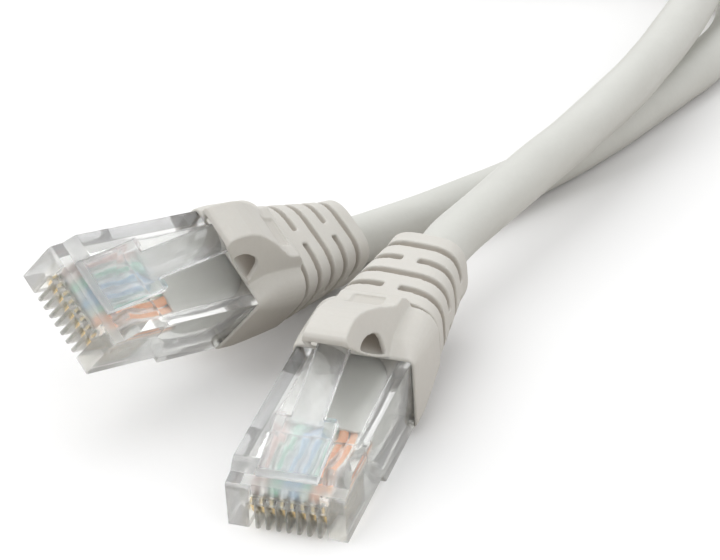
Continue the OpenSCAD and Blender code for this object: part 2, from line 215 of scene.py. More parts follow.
# Takes millimetres of the plug (x across, y from the nose back, z towards the latch) to the part's metres.
def placeOf(end):
    hinge = joints["latch_press_" + end]
    across = Vector(hinge["axis"]).normalized()
    back = -Vector(mounts["nose_face_" + end]["axis"]).normalized()
    up = across.cross(back).normalized()
    turn = Matrix((across, back, up)).transposed()
    nose = Vector(hinge["pos_m"]) - turn @ hingeOfLatch * mm
    return Matrix.Translation(nose) @ turn.to_4x4() @ Matrix.Scale(mm, 4)


plugPlace = {end: placeOf(end) for end in ends}
latchPlace = Matrix.Translation(hingeOfLatch) @ Matrix.Rotation(math.radians(latchRise), 4, "X")


# small helpers for shapes; plug pieces are drawn in the plug's millimetres

def newObject(name, mesh):
    item = bpy.data.objects.new(name, mesh)
    scene.collection.objects.link(item)
    return item


def outwards(mesh):
    work = bmesh.new()
    work.from_mesh(mesh)
    bmesh.ops.remove_doubles(work, verts=work.verts, dist=1e-6)
    bmesh.ops.recalc_face_normals(work, faces=work.faces)
    work.to_mesh(mesh)
    work.free()


def solid(name, corners, faces):
    mesh = bpy.data.meshes.new(name)
    mesh.from_pydata(corners, [], faces)
    outwards(mesh)
    return newObject(name, mesh)


# Four-sided faces between rows of n points, each of which goes all the way round.
def bands(rows, n, backToFirst=False):
    return [(k * n + s, k * n + (s + 1) % n, (k + 1) % rows * n + (s + 1) % n, (k + 1) % rows * n + s)
        for k in range(rows if backToFirst else rows - 1) for s in range(n)]


# A skin through rows of points, each of which goes all the way round, with a cap at each end.
def ringSolid(name, rows):
    n = len(rows[0])
    faces = bands(len(rows), n) + [list(range(n)), [(len(rows) - 1) * n + s for s in range(n)]]
    return solid(name, [p for row in rows for p in row], faces)


# An outline in y and z made wide in x. half is its half width, or says it for each height z.
def sideShape(name, outline, half):
    wide = half if callable(half) else (lambda z: half)
    n = len(outline)
    corners = [(side * wide(z), y, z) for side in (-1, 1) for y, z in outline]
    return solid(name, corners, [list(range(n)), list(range(2 * n - 1, n - 1, -1))] + bands(2, n))


# An outline in x and y that stands from low to high in z.
def topShape(name, outline, low, high):
    n = len(outline)
    corners = [(x, y, z) for z in (low, high) for x, y in outline]
    return solid(name, corners, [list(range(n)), list(range(2 * n - 1, n - 1, -1))] + bands(2, n))


def block(name, x, y, z):
    return topShape(name, [(x[0], y[0]), (x[1], y[0]), (x[1], y[1]), (x[0], y[1])], z[0], z[1])


# The outline with its corners rounded. radii is one radius, or one for each corner.
def filleted(outline, radii, steps=4):
    n = len(outline)
    radii = radii if isinstance(radii, (list, tuple)) else [radii] * n
    made = []
    for k in range(n):
        here, before, after = Vector(outline[k]), Vector(outline[k - 1]), Vector(outline[(k + 1) % n])
        toBefore, toAfter = (before - here), (after - here)
        angle = toBefore.angle(toAfter)
        if radii[k] <= 0 or angle > math.radians(178):
            made.append(tuple(here))
            continue
        reach = min(radii[k] / math.tan(angle / 2), 0.49 * toBefore.length, 0.49 * toAfter.length)
        first, last = here + toBefore.normalized() * reach, here + toAfter.normalized() * reach
        for step in range(steps + 1):
            t = step / steps
            made.append(tuple(first * (1 - t) ** 2 + here * 2 * t * (1 - t) + last * t ** 2))
    return made


# Makes the item's modifiers part of its mesh.
def settle(item):
    shown = bpy.context.evaluated_depsgraph_get()
    mesh = bpy.data.meshes.new_from_object(item.evaluated_get(shown), preserve_all_data_layers=True, depsgraph=shown)
    old = item.data
    item.modifiers.clear()
    item.data = mesh
    mesh.name = item.name
    bpy.data.meshes.remove(old)
    return item


# Cuts the other shapes out of the item, or joins them to it, and removes them.
def cut(item, *others, operation="DIFFERENCE"):
    for other in others:
        modifier = item.modifiers.new("cut", "BOOLEAN")
        modifier.operation = operation
        modifier.solver = "EXACT"
        modifier.object = other
    settle(item)
    for other in others:
        bpy.data.objects.remove(other)
    return item


def bevelled(item, width, segments=3, angle=30.0, clamp=True):
    modifier = item.modifiers.new("bevel", "BEVEL")
    modifier.width = width
    modifier.segments = segments
    modifier.limit_method = "ANGLE"
    modifier.angle_limit = math.radians(angle)
    modifier.use_clamp_overlap = clamp
    return settle(item)


def joined(name, items):
    work = bmesh.new()
    for item in items:
        work.from_mesh(item.data)
        bpy.data.objects.remove(item)
    mesh = bpy.data.meshes.new(name)
    work.to_mesh(mesh)
    work.free()
    return newObject(name, mesh)


def shaded(item, sharpAngle=None):
    item.data.polygons.foreach_set("use_smooth", [True] * len(item.data.polygons))
    if sharpAngle is not None:
        item.data.set_sharp_from_angle(angle=math.radians(sharpAngle))
    item.data.update()
    return item


# Gives a finished piece its material, its body and the nodes that it stands for.
def dressed(item, material, slot, body, *stoodFor):
    item.data.materials.clear()
    item.data.materials.append(material)
    if body:
        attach(item, body)
    if stoodFor:
        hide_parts(*stoodFor)
    return item


# the cable's route, which comes first because the model's room depends on it

cable = {
    "diameter": 5.4,
    "sides": 28,
    "step": 1.3,
    "length": 0.965,
    "exitDepth": 4.0,
    "blockEnd": 28.3,
    "axisHeight": 2.6,
    "tailAt": 13.5,
    "lump": 0.08,
    "lays": (21, 27, 13.7, 61, 34),
}
runA = [(24.4, 25, 8.2), (28.9, 32.5, 8.4), (33.4, 39.5, 8.5), (37.9, 47.5, 8.5), (42.4, 56, 8.6), (46.4, 65, 8.6),
    (49.9, 74, 8.7), (52.9, 83.5, 8.8), (55.4, 93, 9), (57, 102.2, 9.3), (59, 110.8, 9.5)]
runB = [(19.4, 35, 2.7), (26.4, 40.5, 2.7), (32.4, 46.5, 2.7), (37.9, 53, 2.7), (42.9, 59.5, 2.7), (47.4, 66, 2.7),
    (51.4, 72, 2.7), (54.9, 78.5, 2.7), (56.9, 85.5, 2.7), (56.4, 92.8, 2.8), (53, 98.9, 3.1), (47.5, 103, 3.4)]
coil = {
    "centre": (31.5, 138.5),
    "outerRadius": 36,
    "gap": 0.5,
    "start": -25,
    "upperTurns": 1.75,
    "lowerTurns": 1.5 + 1 / 12,
    "strapRoom": 0.9,
    "step": 7.5,
}
pitch = cable["diameter"] + coil["gap"]
lowerHeight = cable["diameter"] / 2 + coil["strapRoom"]
dropFrom = coil["start"] + 360 * coil["upperTurns"]
dropTo = dropFrom + 180
coilEnd = dropTo + 360 * coil["lowerTurns"]
innerRadius = coil["outerRadius"] - pitch * coil["upperTurns"]


def coilPoint(angle):
    fallen = min(1, max(0, (angle - dropFrom) / 180))
    radius = innerRadius + pitch * (max(0, dropFrom - angle) + max(0, angle - dropTo)) / 360
    radius -= pitch / 2 / math.pi * math.sin(math.pi * fallen)
    turn = math.radians(angle)
    height = lowerHeight + pitch / 2 + pitch / 2 * math.cos(math.pi * fallen)
    return Vector((coil["centre"][0] + radius * math.cos(turn), coil["centre"][1] + radius * math.sin(turn), height))


# A point on the axis of a strain relief, in the part's millimetres.
def onRelief(end, behind):
    aside = math.radians(reliefTurn[end])
    local = Vector((behind * math.sin(aside), cable["blockEnd"] + behind * math.cos(aside), cable["axisHeight"]))
    return plugPlace[end] @ local / mm


# Catmull-Rom curve through the points, then points along it an even step apart.
def smoothLine(points, step):
    fine, bits = [], 12
    for k in range(len(points) - 1):
        p0, p1 = points[max(k - 1, 0)], points[k]
        p2, p3 = points[k + 1], points[min(k + 2, len(points) - 1)]
        for i in range(bits):
            t = i / bits
            fine.append(0.5 * (2 * p1 + (p2 - p0) * t + (2 * p0 - 5 * p1 + 4 * p2 - p3) * t ** 2
                + (3 * p1 - p0 - 3 * p2 + p3) * t ** 3))
    fine.append(points[-1])
    travelled = [0.0]
    for k in range(1, len(fine)):
        travelled.append(travelled[-1] + (fine[k] - fine[k - 1]).length)
    count = max(2, round(travelled[-1] / step))
    line, k = [], 0
    for i in range(count + 1):
        wanted = travelled[-1] * i / count
        while k < len(fine) - 2 and travelled[k + 1] < wanted:
            k += 1
        share = (wanted - travelled[k]) / max(1e-9, travelled[k + 1] - travelled[k])
        line.append(fine[k].lerp(fine[k + 1], min(1, share)))
    return line


def cableLine():
    starts = {end: [onRelief(end, cable["tailAt"] + d) for d in (-cable["exitDepth"], 0, cable["diameter"])]
        for end in ends}
    turns = [coilPoint(coil["start"] + coil["step"] * k)
        for k in range(int((coilEnd - coil["start"]) / coil["step"]) + 1)]
    points = starts["a"] + [Vector(p) for p in runA] + turns
    points += [Vector(p) for p in reversed(runB)] + list(reversed(starts["b"]))
    return smoothLine(points, cable["step"])


# A tube along a line, turning as little as it can. radiusAt says the radius from the length and the angle.
def sweptTube(name, line, sides, radiusAt):
    ahead = [(line[min(k + 1, len(line) - 1)] - line[max(k - 1, 0)]).normalized() for k in range(len(line))]
    aside = ahead[0].cross(Vector((0, 0, 1))).normalized()
    corners, lengths, gone = [], [], 0.0
    for k, point in enumerate(line):
        if k:
            gone += (point - line[k - 1]).length
        aside = (aside - ahead[k] * aside.dot(ahead[k])).normalized()
        up = aside.cross(ahead[k])
        lengths.append(gone)
        for s in range(sides):
            angle = 2 * math.pi * s / sides
            corners.append(point + radiusAt(gone, angle) * (math.cos(angle) * aside + math.sin(angle) * up))
    around = []
    for k in range(len(line) - 1):
        for s in range(sides):
            u, v = s / sides, (s + 1) / sides
            around += [(u, lengths[k]), (v, lengths[k]), (v, lengths[k + 1]), (u, lengths[k + 1])]
    faces = bands(len(line), sides)
    faces += [list(range(sides - 1, -1, -1)), list(range((len(line) - 1) * sides, len(line) * sides))]
    around += [(0.5, lengths[0])] * sides + [(0.5, lengths[-1])] * sides
    mesh = bpy.data.meshes.new(name)
    mesh.from_pydata(corners, [], faces)
    layer = mesh.uv_layers.new(name="UVMap")
    layer.data.foreach_set("uv", [value for pair in around for value in pair])
    mesh.update()
    return newObject(name, mesh)


# Round, with the faint swell of the twisted pairs that lie inside the jacket. The lays are lengths of one turn.
def cableRadius(gone, angle):
    first, second, third, drift, sway = (2 * math.pi * gone / lay for lay in cable["lays"])
    swell = 0.45 * math.cos(2 * angle + first) + 0.35 * math.cos(3 * angle - second + 1.3)
    swell += 0.30 * math.sin(third + 0.8 * math.cos(drift)) * math.cos(angle + sway)
    return cable["diameter"] / 2 - cable["lump"] + cable["lump"] * swell


line = cableLine()
freeCable = sweptTube("freeCable", [point * mm for point in line], cable["sides"],
    lambda gone, angle: cableRadius(gone / mm, angle) * mm)
shaded(freeCable)

tie = {"angle": 90, "width": 6, "thickness": 0.6, "room": 0.3, "corner": 1.6, "tail": 12, "strips": 7, "edge": 0.09}


def makeTie(setup):
    turns = [coilPoint(setup["angle"] + 360 * k) for k in range(int((coilEnd - setup["angle"]) / 360) + 1)]
    centre = Vector((*coil["centre"], 0))
    radii = [(Vector((p.x, p.y, 0)) - centre).length for p in turns]
    reach = cable["diameter"] / 2 + setup["room"] + setup["thickness"] / 2
    inner, outer = min(radii) - reach, max(radii) + reach
    low, high = setup["thickness"] / 2, lowerHeight + pitch + reach
    loop = filleted([(inner, low), (outer, low), (outer, high), (inner, high)], setup["corner"], 8)
    # the free end lies over the loop, from the outer side inwards
    over = high + setup["thickness"] * 1.02
    tail = [(outer + setup["thickness"] * 0.2, high - 2.2), (outer + setup["thickness"] * 0.9, high - 0.9),
        (outer - 0.6, over), (outer - setup["tail"] * 0.5, over), (outer - setup["tail"], over - 0.15)]
    tailLine = [(p.x, p.y) for p in smoothLine([Vector((a, b, 0)) for a, b in tail], 0.6)]
    straps = []
    for name, points, closed in (("strapLoop", loop, True), ("strapTail", tailLine, False)):
        corners, faces, across = [], [], setup["strips"]
        for r, z in points:
            for s in range(across + 1):
                corners.append((centre.x + (s / across - 0.5) * setup["width"], centre.y + r, z))
        n, wide = len(points), across + 1
        for k in range(n if closed else n - 1):
            for s in range(across):
                q = (k + 1) % n
                faces.append((k * wide + s, k * wide + s + 1, q * wide + s + 1, q * wide + s))
        strap = solid(name, corners, faces)
        thick = strap.modifiers.new("thickness", "SOLIDIFY")
        thick.thickness, thick.offset = setup["thickness"] * 0.92, 0
        settle(strap)
        straps.append(bevelled(strap, setup["edge"], 2, 50))
    strap = joined("coilStrap", straps)
    strap.data.transform(Matrix.Scale(mm, 4))
    outwards(strap.data)
    return shaded(strap, 50)


coilStrap = makeTie(tie)
print("stage: cable and strap")


# materials

# Satin moulded elastomer, with painted shade that darkens its grooves and recesses.
def mouldedRubber(name, colour, shade, darkTone):
    material, tree, shader = newMaterial(name)
    clouds = patchy(tree, 160, 3)
    fine = patchy(tree, 2600, 2)
    body = blendColours(tree, between(tree, clouds, -0.2, 1.2), colour, shade)
    body = blendColours(tree, between(tree, fine, 0.0, 0.10), body, darkTone)
    recess = addNode(tree, "ShaderNodeAttribute", {"attribute_name": "recess"}).outputs["Fac"]
    # painted shade: the deeper a point lies under the plain skin, the darker it is painted
    body = blendColours(tree, between(tree, recess, 0.0, 0.55), body, darkTone)
    tree.links.new(body, shader.inputs["Base Color"])
    tree.links.new(between(tree, clouds, 0.42, 0.56), shader.inputs["Roughness"])
    shader.inputs["Specular IOR Level"].default_value = 0.42
    shader.inputs["Subsurface Weight"].default_value = 0.06
    shader.inputs["Subsurface Radius"].default_value = (0.0012, 0.0010, 0.0008)
    shader.inputs["Subsurface Scale"].default_value = 1.0
    first = bumpInto(tree, shader, fine, 0.00002, 0.5)
    bumpInto(tree, shader, patchy(tree, 420, 2), 0.00008, 0.25, first)
    return material


# Soft satin vinyl that follows the twisted pairs under it.
def jacketVinyl(name, colour, shade, darkTone):
    material, tree, shader = newMaterial(name)
    uv = addNode(tree, "ShaderNodeUVMap", {"uv_map": "UVMap"}).outputs["UV"]
    spread = addNode(tree, "ShaderNodeMapping", Vector=uv, Scale=(6.0, 160.0, 1.0)).outputs["Vector"]
    long = patchy(tree, 1.0, 2, spread)
    fine = patchy(tree, 1900, 3)
    body = blendColours(tree, between(tree, long, -0.1, 1.1), colour, shade)
    body = blendColours(tree, between(tree, fine, 0.0, 0.12), body, darkTone)
    tree.links.new(body, shader.inputs["Base Color"])
    tree.links.new(between(tree, long, 0.34, 0.48), shader.inputs["Roughness"])
    shader.inputs["Specular IOR Level"].default_value = 0.45
    first = bumpInto(tree, shader, fine, 0.00003, 0.35)
    bumpInto(tree, shader, long, 0.00020, 0.30, first)
    return material


# Polished clear polycarbonate with faint flow marks. The attribute "tint" holds each face's colour, on the plug
# housings with painted shade and a painted gold reflection, and in its alpha how frosted the face is.
def clearPlastic(name, colour, shade):
    material, tree, shader = newMaterial(name)
    flow = patchy(tree, 700, 2)
    faces = addNode(tree, "ShaderNodeAttribute", {"attribute_name": "tint"}).outputs
    tint = blendColours(tree, between(tree, flow, 0.2, 0.8), colour, shade)
    tree.links.new(blendColours(tree, 1.0, tint, faces["Color"], "MULTIPLY"), shader.inputs["Base Color"])
    frost = addNode(tree, "ShaderNodeMath", {"operation": "MULTIPLY_ADD"}, i0=faces["Alpha"], i1=0.5,
        i2=between(tree, flow, 0.02, 0.07)).outputs[0]
    tree.links.new(frost, shader.inputs["Roughness"])
    shader.inputs["Transmission Weight"].default_value = 0.93
    shader.inputs["IOR"].default_value = 1.5
    shader.inputs["Alpha"].default_value = 0.85
    bumpInto(tree, shader, flow, 0.00004, 0.25)
    return material


# Gives each face of a clear piece its tint and frosting, from its middle and its normal in the plug's millimetres.
def tinted(item, lookOf):
    mesh = item.data
    layer = mesh.attributes.new("tint", "FLOAT_COLOR", "CORNER")
    for face in mesh.polygons:
        look = lookOf(face.center, face.normal)
        for corner in face.loop_indices:
            layer.data[corner].color = look
    return item


def platedMetal(name, colour, shade, rough):
    material, tree, shader = newMaterial(name)
    wear = patchy(tree, 1800, 4)
    tree.links.new(blendColours(tree, between(tree, wear, -0.1, 1.0), colour, shade), shader.inputs["Base Color"])
    tree.links.new(between(tree, wear, rough * 0.7, rough * 1.5), shader.inputs["Roughness"])
    shader.inputs["Metallic"].default_value = 1.0
    bumpInto(tree, shader, patchy(tree, 5200, 2), 0.00001, 0.4)
    return material


# Extruded insulation, plain or pale with one stripe along the wire.
def insulation(name, colour, stripe=None):
    material, tree, shader = newMaterial(name)
    mottle = patchy(tree, 1500, 2)
    darker = tuple(0.82 * c for c in colour[:3]) + (1,)
    body = blendColours(tree, between(tree, mottle, -0.2, 0.9), colour, darker)
    if stripe:
        uv = addNode(tree, "ShaderNodeUVMap", {"uv_map": "UVMap"}).outputs["UV"]
        around = addNode(tree, "ShaderNodeSeparateXYZ", Vector=uv).outputs["X"]
        off = addNode(tree, "ShaderNodeMath", {"operation": "SUBTRACT"}, i0=around, i1=0.27).outputs[0]
        off = addNode(tree, "ShaderNodeMath", {"operation": "ABSOLUTE"}, i0=off).outputs[0]
        mark = addNode(tree, "ShaderNodeMapRange", {"interpolation_type": "SMOOTHSTEP"},
            i0=off, i1=0.13, i2=0.17, i3=1.0, i4=0.0).outputs[0]
        body = blendColours(tree, mark, body, stripe)
    tree.links.new(body, shader.inputs["Base Color"])
    tree.links.new(between(tree, mottle, 0.30, 0.42), shader.inputs["Roughness"])
    bumpInto(tree, shader, mottle, 0.00002, 0.3)
    return material


def wovenStrap(name, colour, shade):
    material, tree, shader = newMaterial(name)
    where = addNode(tree, "ShaderNodeTexCoord").outputs["Object"]
    weave = addNode(tree, "ShaderNodeTexWave", {"wave_type": "BANDS", "bands_direction": "X"},
        Vector=where, Scale=900.0, Distortion=0.6).outputs["Fac"]
    weft = addNode(tree, "ShaderNodeTexWave", {"wave_type": "BANDS", "bands_direction": "DIAGONAL"},
        Vector=where, Scale=700.0, Distortion=0.6).outputs["Fac"]
    both = addNode(tree, "ShaderNodeMath", {"operation": "MULTIPLY"}, i0=weave, i1=weft).outputs[0]
    fuzz = patchy(tree, 3000, 4)
    body = blendColours(tree, both, shade, colour)
    tree.links.new(blendColours(tree, between(tree, fuzz, 0.0, 0.35), body, shade), shader.inputs["Base Color"])
    tree.links.new(between(tree, fuzz, 0.75, 0.95), shader.inputs["Roughness"])
    shader.inputs["Sheen Weight"].default_value = 0.3
    bumpInto(tree, shader, both, 0.00012, 0.6)
    return material


wireColours = {
    # contact number: name, colour, stripe and slot
    1: ("brown", (0.46, 0.31, 0.27, 1), None, "wire_brown"),
    2: ("whiteBrown", (0.86, 0.80, 0.78, 1), (0.55, 0.36, 0.31, 1), "wire_white_brown"),
    3: ("green", (0.16, 0.50, 0.35, 1), None, "wire_green"),
    4: ("whiteBlue", (0.78, 0.85, 0.89, 1), (0.25, 0.45, 0.66, 1), "wire_white_blue"),
    5: ("blue", (0.22, 0.43, 0.65, 1), None, "wire_blue"),
    6: ("whiteGreen", (0.79, 0.87, 0.82, 1), (0.20, 0.55, 0.40, 1), "wire_white_green"),
    7: ("orange", (0.90, 0.40, 0.19, 1), None, "wire_orange"),
    8: ("whiteOrange", (0.91, 0.82, 0.76, 1), (0.90, 0.48, 0.28, 1), "wire_white_orange"),
}
finishes = {
    # the fresh colour, the worn one, then the dark tone of specks (on the boot also of its painted groove shade) or
    # roughness where the finish has it
    "bootRubber": ((0.655, 0.640, 0.600, 1), (0.610, 0.596, 0.556, 1), (0.300, 0.240, 0.185, 1)),
    "cableVinyl": ((0.660, 0.665, 0.630, 1), (0.600, 0.604, 0.568, 1), (0.420, 0.400, 0.360, 1)),
    "clearPolycarbonate": ((0.985, 0.990, 0.985, 1), (0.955, 0.965, 0.960, 1)),
    "goldPlate": ((0.88, 0.70, 0.40, 1), (0.66, 0.50, 0.27, 1), 0.24),
    "bareCopper": ((0.86, 0.42, 0.24, 1), (0.62, 0.27, 0.14, 1), 0.34),
    "strapWebbing": ((0.56, 0.56, 0.54, 1), (0.33, 0.33, 0.32, 1)),
}
rubber = mouldedRubber("bootRubber", *finishes["bootRubber"])
vinyl = jacketVinyl("cableVinyl", *finishes["cableVinyl"])
clear = clearPlastic("clearPolycarbonate", *finishes["clearPolycarbonate"])
gold = platedMetal("goldPlate", *finishes["goldPlate"])
copper = platedMetal("bareCopper", *finishes["bareCopper"])
webbing = wovenStrap("strapWebbing", *finishes["strapWebbing"])
insulated = {i: insulation(name + "Insulation", colour, stripe)
    for i, (name, colour, stripe, _) in wireColours.items()}
print("stage: materials")

dressed(freeCable, vinyl, "cable_jacket", "cable_body", "cable_run_a", "cable_coil", "cable_run_b")
dressed(coilStrap, webbing, "strap", "cable_body", "cable_tie")


# boots: block, ribbed strain relief and hooded latch guard in one moulding

boot = {
    "front": 20.6,
    "back": 28.3,
    "high": 7.65,
    "sections": [
        # y, half width, low, high, top corner, bottom corner
        (20.55, 6.18, -1.6, 6.68, 0.8, 1.0),
        (20.7, 6.22, -1.65, 6.8, 0.95, 1.1),
        (21.3, 6.3, -1.66, 7.05, 1.3, 1.3),
        (22.5, 6.4, -1.64, 7.55, 2.1, 1.6),
        (24.0, 6.45, -1.55, 7.68, 2.5, 2.1),
        (26.0, 6.45, -1.38, 7.68, 2.7, 2.7),
        (27.7, 6.42, -1.2, 7.62, 2.7, 3.1),
        (28.15, 6.3, -1.08, 7.5, 2.6, 3.1),
        (28.35, 6.05, -0.85, 7.25, 2.5, 3.0),
    ],
    "reliefWide": (6.1, 4.25),
    "reliefUp": (4.5, 4.5),
    "reliefDown": (4.3, 4.1),
    "tailRing": 1.7,
    "squareUp": (3.4, 3.5),
    "squareDown": (3.0, 2.1),
    "grooveWidth": 0.85,
    "grooveDepth": 0.85,
    "groovePitch": 2.5,
    "firstGroove": 1,
    "grooves": 5,
    "sideBridged": (2, 4),
    "bridge": 0.85,
    "pocket": ((-5.86, 5.86), (15.0, 22.35), (-1.27, 6.32)),
    "pocketEdge": 0.3,
    "bore": (21.0, 29.0, 36.0, 43.5),
    "boreRadius": 2.8,
    "voxel": 0.125,
    "softening": 4,
    "kept": 0.68,  # share of the skin's faces
    "unshadedTo": 0.15,  # how deep a groove stays free of painted shade, and then over what depth the painted shade grows to full
    "shadedOver": 0.6,
}
hood = {
    "foot": 3.5,
    "head": 2.08,
    "crest": 13.8,
    "wall": 0.55,
    "roof": 0.8,
    "lip": (13.25, 12.55),
    "rim": 6.65,
    "strut": 0.32,
    "sag": 0.4,
    "round": 0.8,
    "top": [(13.2, 13.15), (13.45, 13.48), (14.1, 13.7), (15.2, 13.8), (16.4, 13.77), (17.8, 13.42), (19.2, 12.85),
        (20.2, 12.35), (21.2, 11.85), (22.2, 11.3), (23.1, 10.7)],
    "back": [(24.1, 10.15), (24.7, 9.75), (25.5, 9.42), (27.0, 9.2), (27.7, 8.75), (28.3, 8.0), (28.5, 6.6),
        (20.66, 6.6)],
    "sagAt": (19.6, 18.4, 17.2, 16.0, 14.8, 14.0),
    "hollowMouth": [(-1.5, 0.02), (0.75, 0.02), (1.15, 0.3)],  # from the lip
    "hollowBack": [(22.3, 10.2), (22.6, 9.1), (22.5, 7.85), (21.4, 7.3), (20.5, 6.7)],
    "arch": [(15.75, 11.1), (16.6, 11.2), (17.6, 10.98), (18.5, 10.65), (19.3, 10.2), (19.95, 9.6), (20.3, 8.9)],
    "archCorners": [0.2, 0.3, 0.6, 0.6, 0.6, 0.6, 0.6, 0.4, 0.2, 0.5, 0.5, 0.5],
    "rib": ((-1.4, 1.4), (15.4, 16.2), (11.45, 13.4)),
    "pad": [(23.5, 10.48), (24.1, 10.15), (24.7, 9.75), (25.5, 9.42), (26.6, 9.26)],
    "padHalf": 1.65,
    "padDepth": 0.26,
    "bend": (0.1, 3.6),  # heights over the block between which the skin goes over to the guard
}


def sectionPoint(angle, wide, up, down, squareUp, squareDown):
    c, s = abs(math.cos(angle)), math.sin(angle)
    high, square = (up, squareUp) if s > 0 else (down, squareDown)
    r = ((c / wide) ** square + (abs(s) / high) ** square) ** (-1 / square)
    return r * math.cos(angle), r * s


# A point of the relief's skin, behind the block, in the plug's frame but not yet bent aside.
def reliefPoint(angle, behind, inset=0.0):
    t = min(1, max(0, behind / (cable["tailAt"] - boot["tailRing"])))
    sizes = [boot[key][0] * (1 - t) + boot[key][1] * t
        for key in ("reliefWide", "reliefUp", "reliefDown", "squareUp", "squareDown")]
    x, z = sectionPoint(angle, *[size - inset for size in sizes[:3]], *sizes[3:])
    return Vector((x, boot["back"] + behind, cable["axisHeight"] + z))


# The boot's block: rounded sections one behind another.
def blockBody():
    rows = []
    for y, half, low, high, top, bottom in boot["sections"]:
        row = []
        for x, z, r, first in ((half - top, high - top, top, 0), (top - half, high - top, top, 90),
                (bottom - half, low + bottom, bottom, 180), (half - bottom, low + bottom, bottom, 270)):
            for step in range(9):
                angle = math.radians(first + 90 * step / 8)
                row.append(Vector((x + r * math.cos(angle), y, z + r * math.sin(angle))))
        rows.append(row)
    return ringSolid("block", rows)


def reliefBody():
    rows, count, tail = [], 96, cable["tailAt"]
    for behind, inset in [(-0.9, 0.0)] + [(k * 0.5, 0.0) for k in range(1, 24)] + [(tail - 0.5, 0.0), (tail, 0.35)]:
        rows.append([reliefPoint(2 * math.pi * s / count, behind, inset) for s in range(count)])
    return ringSolid("relief", rows)


# A groove with a round floor, from one angle to another round the relief.
def grooveCutter(behind, start, stop):
    half, deep = boot["grooveWidth"] / 2, boot["grooveDepth"]
    profile = [(half, -1.5), (half, deep - 0.35), (half * 0.62, deep - 0.08), (0, deep), (-half * 0.62, deep - 0.08),
        (-half, deep - 0.35), (-half, -1.5)]
    steps = max(6, round(abs(stop - start) / 4))
    rows = []
    for k in range(steps + 1):
        angle = math.radians(start + (stop - start) * k / steps)
        rows.append([reliefPoint(angle, behind + along, inset) for along, inset in profile])
    return ringSolid("groove", rows)


# Most grooves are bridged at the top and the bottom, and some at the sides.
def grooveCutters():
    made = []
    for k in range(boot["grooves"]):
        behind = boot["firstGroove"] + boot["groovePitch"] * k
        high = reliefPoint(math.pi / 2, behind).z - cable["axisHeight"]
        wide = reliefPoint(0, behind).x
        bridge = math.degrees(math.atan2(boot["bridge"], high))
        if k in boot["sideBridged"]:
            side = math.degrees(math.atan2(boot["bridge"], wide))
            arcs = [(side, 180 - side), (180 + side, 360 - side)]
        else:
            top = math.degrees(math.atan2(hood["head"], high)) if k == 0 else bridge
            arcs = [(-90 + bridge, 90 - top), (90 + top, 270 - bridge)]
        made += [grooveCutter(behind, *arc) for arc in arcs]
    return made


def hoodHalf(z, inset=0.0):
    lean = (hood["foot"] - hood["head"]) / (hood["crest"] - boot["high"])
    return hood["head"] - inset + lean * (hood["crest"] - z)


# Height of the struts' lower edge, which sags a little between the lip and the block's rim.
def strutLow(y):
    lipY, lipZ = hood["lip"]
    t = (y - lipY) / (boot["front"] - lipY)
    return lipZ - t * (lipZ - hood["rim"]) - hood["sag"] * math.sin(math.pi * t)


def hoodBody():
    outline = [hood["lip"]] + hood["top"] + hood["back"] + [(y, strutLow(y)) for y in hood["sagAt"]]
    body = sideShape("hood", outline, hoodHalf)
    # the long edges of the roof are rounded, but not the lip's
    work = bmesh.new()
    work.from_mesh(body.data)
    lipEdge = hood["lip"][1] + 0.1
    edges = [edge for edge in work.edges if edge.calc_length() < 3 and edge.verts[0].co.x * edge.verts[1].co.x > 0
        and min(v.co.z for v in edge.verts) > 9.0 and not any(v.co.y < 14 and v.co.z < lipEdge for v in edge.verts)]
    bmesh.ops.bevel(work, geom=edges, offset=hood["round"], segments=4, profile=0.5, affect="EDGES", clamp_overlap=True)
    work.to_mesh(body.data)
    work.free()
    return body


def hoodHollow():
    lipY, lipZ = hood["lip"]
    mouth, back = [(lipY + y, lipZ + z) for y, z in hood["hollowMouth"]], hood["hollowBack"]
    outline = mouth + [(y, z - hood["roof"]) for y, z in hood["top"][3:9]] + back + [(mouth[0][0], back[-1][1])]
    return sideShape("hollow", outline, lambda z: hoodHalf(z, hood["wall"]))


def hoodWindow():
    def overStrut(*places):
        return [(y, strutLow(y) + hood["strut"]) for y in places]

    outline = overStrut(15.35) + hood["arch"] + overStrut(20.3, 19.0, 17.7, 16.5)
    return sideShape("window", filleted(outline, hood["archCorners"]), 6.0)


def bvhOf(item):
    work = bmesh.new()
    work.from_mesh(item.data)
    bmesh.ops.triangulate(work, faces=work.faces)
    tree = BVHTree.FromBMesh(work)
    work.free()
    return tree


# Where a point goes when the strain relief is turned by some degrees. Only what lies behind the block moves.
def turnedAside(x, y, degrees):
    behind = y - boot["back"]
    if behind <= 0:
        return x, y
    c, s = math.cos(math.radians(degrees)), math.sin(math.radians(degrees))
    return x * c + behind * s, boot["back"] - x * s + behind * c


# Says how far each point lies under the skin that the moulding had before its grooves, as painted shade.
def markRecesses(item, plain, end):
    depths = []
    for vertex in item.data.vertices:
        x, y, z = vertex.co
        distance = plain.find_nearest(Vector((*turnedAside(x, y, -reliefTurn[end]), z)))[3]
        depths.append(min(1, max(0, (distance or 0) - boot["unshadedTo"]) / boot["shadedOver"]))
    item.data.attributes.new("recess", "FLOAT", "POINT").data.foreach_set("value", depths)


